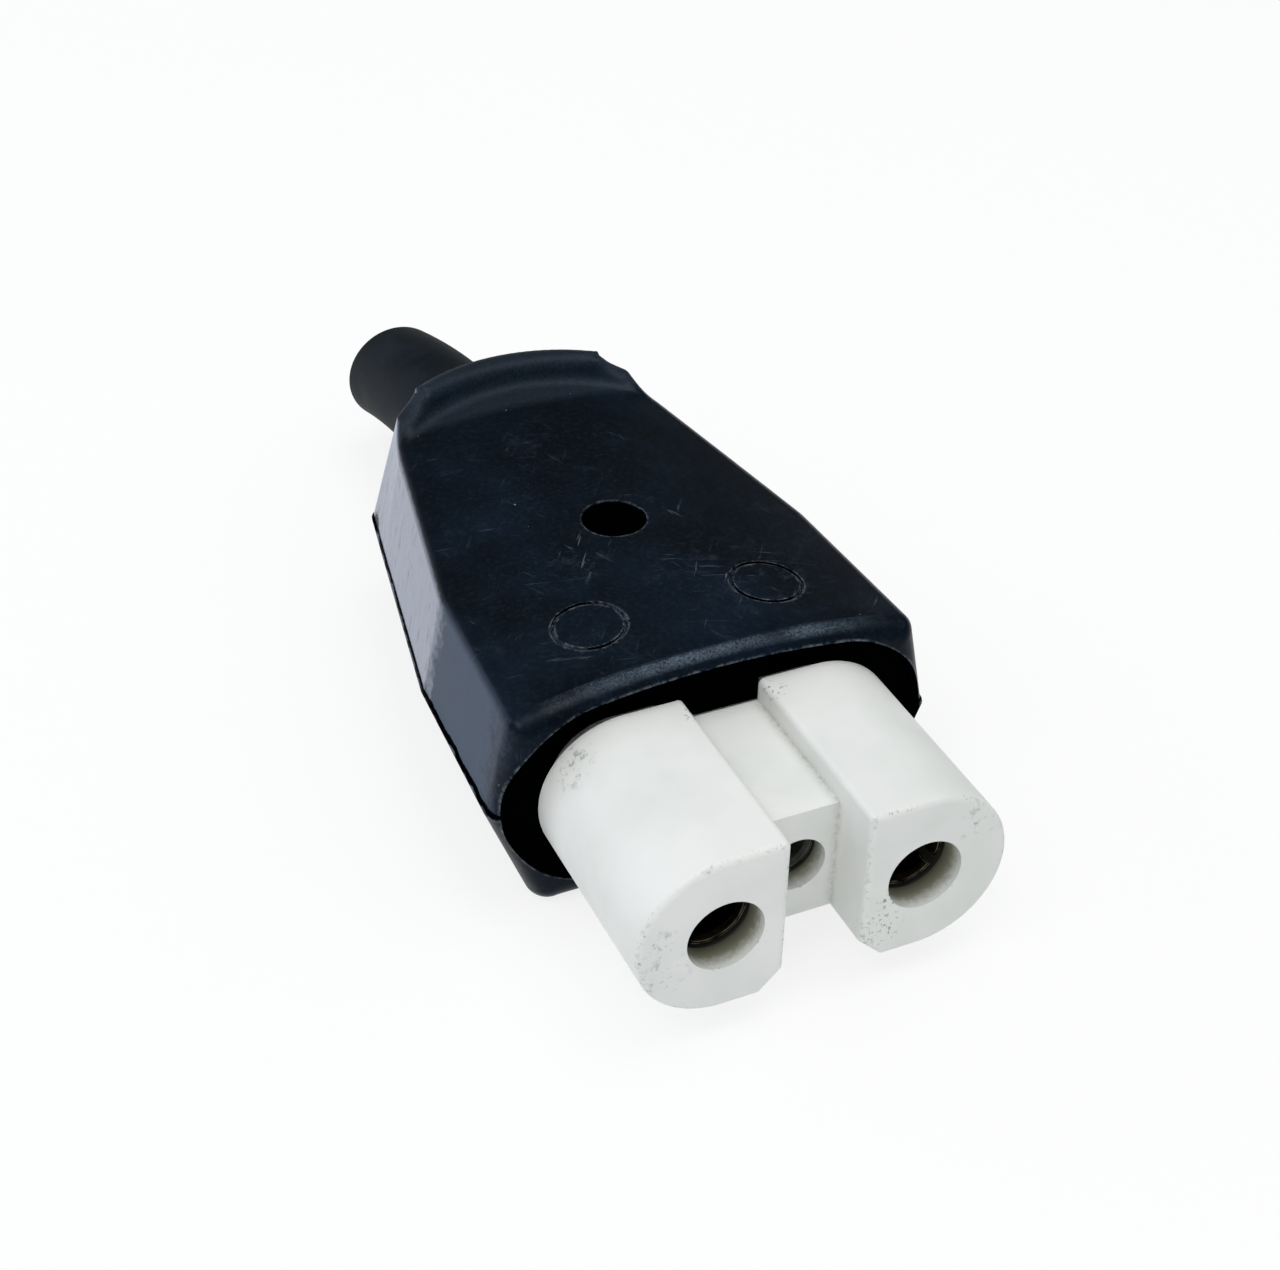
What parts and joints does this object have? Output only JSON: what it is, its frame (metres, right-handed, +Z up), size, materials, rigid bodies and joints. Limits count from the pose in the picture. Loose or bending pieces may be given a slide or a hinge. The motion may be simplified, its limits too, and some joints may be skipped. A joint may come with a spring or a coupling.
{
  "type": "appliance connector",
  "caption": "Heat-resistant appliance connector: porcelain head with round pin sockets, two-part moulded grip, rubber cord sleeve.",
  "frame": {"origin": "under the middle of the length and width, on the plane that the flat underside rests on", "axes": "-Y points out of the pin sockets, +Y along the cord sleeve, +Z up through the screw well, the two line sockets lie along X"},
  "size_m": [0.0442, 0.105, 0.026],
  "materials": {
    "housing": "moulded thermoset, satin, lightly scuffed",
    "porcelain": "unglazed white porcelain, matt",
    "sleeve_rubber": "soft matt rubber",
    "contact_brass": "rolled, tinned, slightly tarnished",
    "terminal_brass": "sawn and drilled, bright",
    "spring_steel": "hardened strip, oiled",
    "zinc_steel": "zinc plated"
  },
  "bodies": {
    "root": {"upper_shell": "housing", "lower_shell": "housing", "porcelain_head": "porcelain", "cord_sleeve": "sleeve_rubber", "left_socket_tube": "contact_brass", "right_socket_tube": "contact_brass", "earth_socket_tube": "contact_brass", "left_terminal_block": "terminal_brass", "right_terminal_block": "terminal_brass", "earth_terminal_block": "terminal_brass", "left_spring_ring": "spring_steel", "right_spring_ring": "spring_steel", "earth_spring_ring": "spring_steel", "left_terminal_washer": "zinc_steel", "right_terminal_washer": "zinc_steel", "earth_terminal_washer": "zinc_steel", "left_terminal_screw": "zinc_steel", "right_terminal_screw": "zinc_steel", "earth_terminal_screw": "zinc_steel", "housing_screw": "zinc_steel", "housing_washer": "zinc_steel", "housing_nut": "zinc_steel", "cord_clamp": "zinc_steel", "left_clamp_screw": "zinc_steel", "right_clamp_screw": "zinc_steel", "left_clamp_insert": "terminal_brass", "right_clamp_insert": "terminal_brass"}
  },
  "joints": []
}
